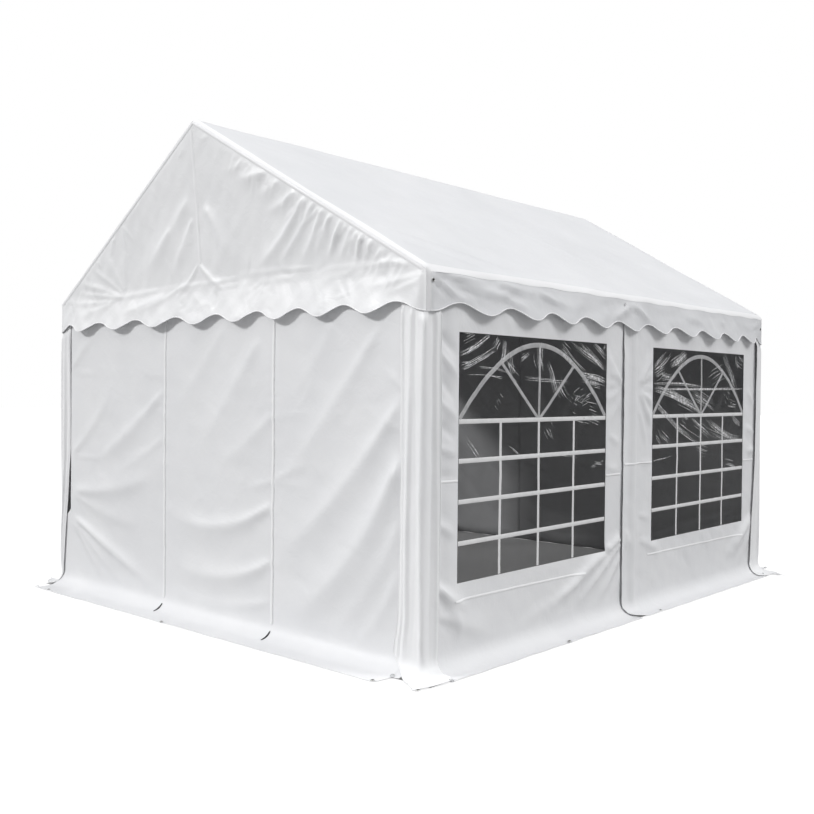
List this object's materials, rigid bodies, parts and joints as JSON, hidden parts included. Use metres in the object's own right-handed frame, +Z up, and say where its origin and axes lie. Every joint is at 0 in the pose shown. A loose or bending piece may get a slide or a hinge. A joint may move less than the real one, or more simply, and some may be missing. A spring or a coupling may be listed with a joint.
{
  "type": "marquee tent",
  "caption": "Party tent with a gable roof on a steel tube frame, scalloped valances, zipped end walls, windowed side walls and ground flaps.",
  "frame": {"origin": "on the ground at the middle of the tent, under the middle of the ridge", "axes": "+Z up, +Y along the ridge from the front gable to the rear gable, +X to the right-hand side wall as seen from the front"},
  "size_m": [3.692, 4.432, 2.994],
  "materials": {
    "pvc_white": "satin PVC-coated polyester sheet",
    "window_film": "glossy smoke-grey flexible PVC film",
    "galvanised_steel": "galvanised tube, satin"
  },
  "bodies": {
    "root": {"post_front_left": "galvanised_steel", "post_front_right": "galvanised_steel", "post_middle_left": "galvanised_steel", "post_middle_right": "galvanised_steel", "post_rear_left": "galvanised_steel", "post_rear_right": "galvanised_steel", "eave_joint_front_left": "galvanised_steel", "eave_joint_front_right": "galvanised_steel", "eave_joint_middle_left": "galvanised_steel", "eave_joint_middle_right": "galvanised_steel", "eave_joint_rear_left": "galvanised_steel", "eave_joint_rear_right": "galvanised_steel", "ridge_joint_front": "galvanised_steel", "ridge_joint_middle": "galvanised_steel", "ridge_joint_rear": "galvanised_steel", "eave_rail_front_left": "galvanised_steel", "eave_rail_front_right": "galvanised_steel", "eave_rail_rear_left": "galvanised_steel", "eave_rail_rear_right": "galvanised_steel", "gable_tie_front": "galvanised_steel", "gable_tie_rear": "galvanised_steel", "rafter_front_left": "galvanised_steel", "rafter_front_right": "galvanised_steel", "rafter_middle_left": "galvanised_steel", "rafter_middle_right": "galvanised_steel", "rafter_rear_left": "galvanised_steel", "rafter_rear_right": "galvanised_steel", "ridge_tube_front": "galvanised_steel", "ridge_tube_rear": "galvanised_steel", "roof_left": "pvc_white", "roof_right": "pvc_white", "gable_front": "pvc_white", "gable_rear": "pvc_white", "front_wall_left": "pvc_white", "front_door": "pvc_white", "front_wall_right": "pvc_white", "rear_wall_left": "pvc_white", "rear_door": "pvc_white", "rear_wall_right": "pvc_white", "corner_cover_front_left": "pvc_white", "corner_cover_front_right": "pvc_white", "corner_cover_rear_left": "pvc_white", "corner_cover_rear_right": "pvc_white", "side_wall_front_left": "pvc_white", "side_wall_front_right": "pvc_white", "side_wall_rear_left": "pvc_white", "side_wall_rear_right": "pvc_white", "window_front_left": "window_film", "window_front_right": "window_film", "window_rear_left": "window_film", "window_rear_right": "window_film"}
  },
  "joints": []
}
